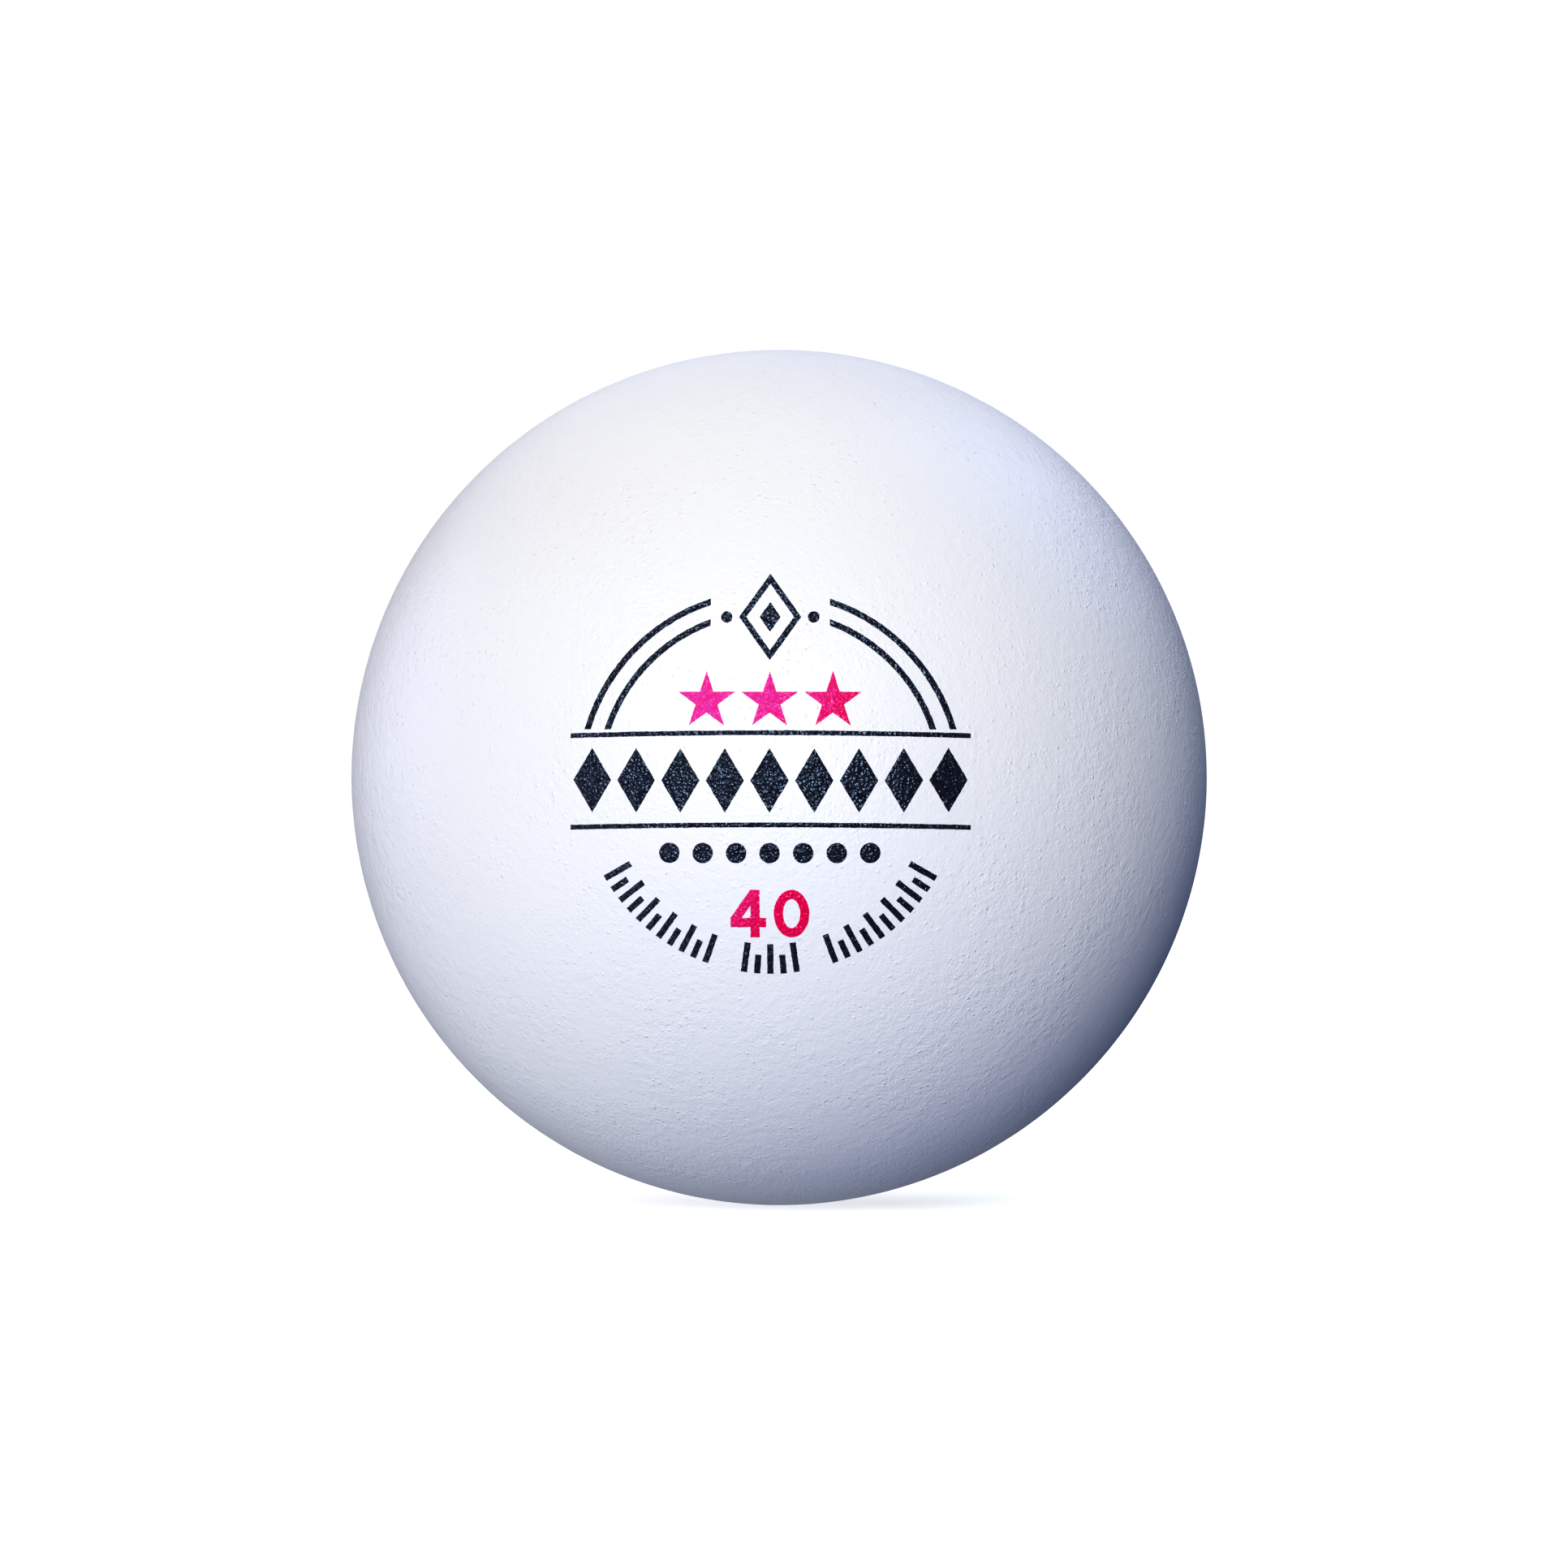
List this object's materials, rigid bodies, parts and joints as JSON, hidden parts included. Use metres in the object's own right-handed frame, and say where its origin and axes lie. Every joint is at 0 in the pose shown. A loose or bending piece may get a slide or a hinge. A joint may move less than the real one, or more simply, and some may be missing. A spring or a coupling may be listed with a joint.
{
  "type": "table tennis ball",
  "caption": "Hollow white table tennis ball: moulded matte half-shells cemented at a lapped seam, with a black and pink print on one half.",
  "frame": {"origin": "the ball's centre, in the plane of the seam", "axes": "-Y out through the middle of the print, +Z to the top of the print, +X to the right of the print as it is read; the seam lies in the plane Y = 0"},
  "size_m": [0.0402, 0.0402, 0.0402],
  "materials": {
    "shell_abs": "white ABS with a fine even grain, matte",
    "cement": "solvent cement, dried and buffed flush with the shells",
    "ink_black": "blue-black pad-printing ink, satin, following the grain under it",
    "ink_pink": "pink-red pad-printing ink, satin, following the grain under it"
  },
  "bodies": {
    "root": {"front_half_shell": "shell_abs", "rear_half_shell": "shell_abs", "seam_cement": "cement", "print_arcs": "ink_black", "print_emblem": "ink_black", "print_rules": "ink_black", "print_lozenge_band": "ink_black", "print_dots": "ink_black", "print_scale": "ink_black", "print_stars": "ink_pink", "print_numerals": "ink_pink"}
  },
  "joints": []
}
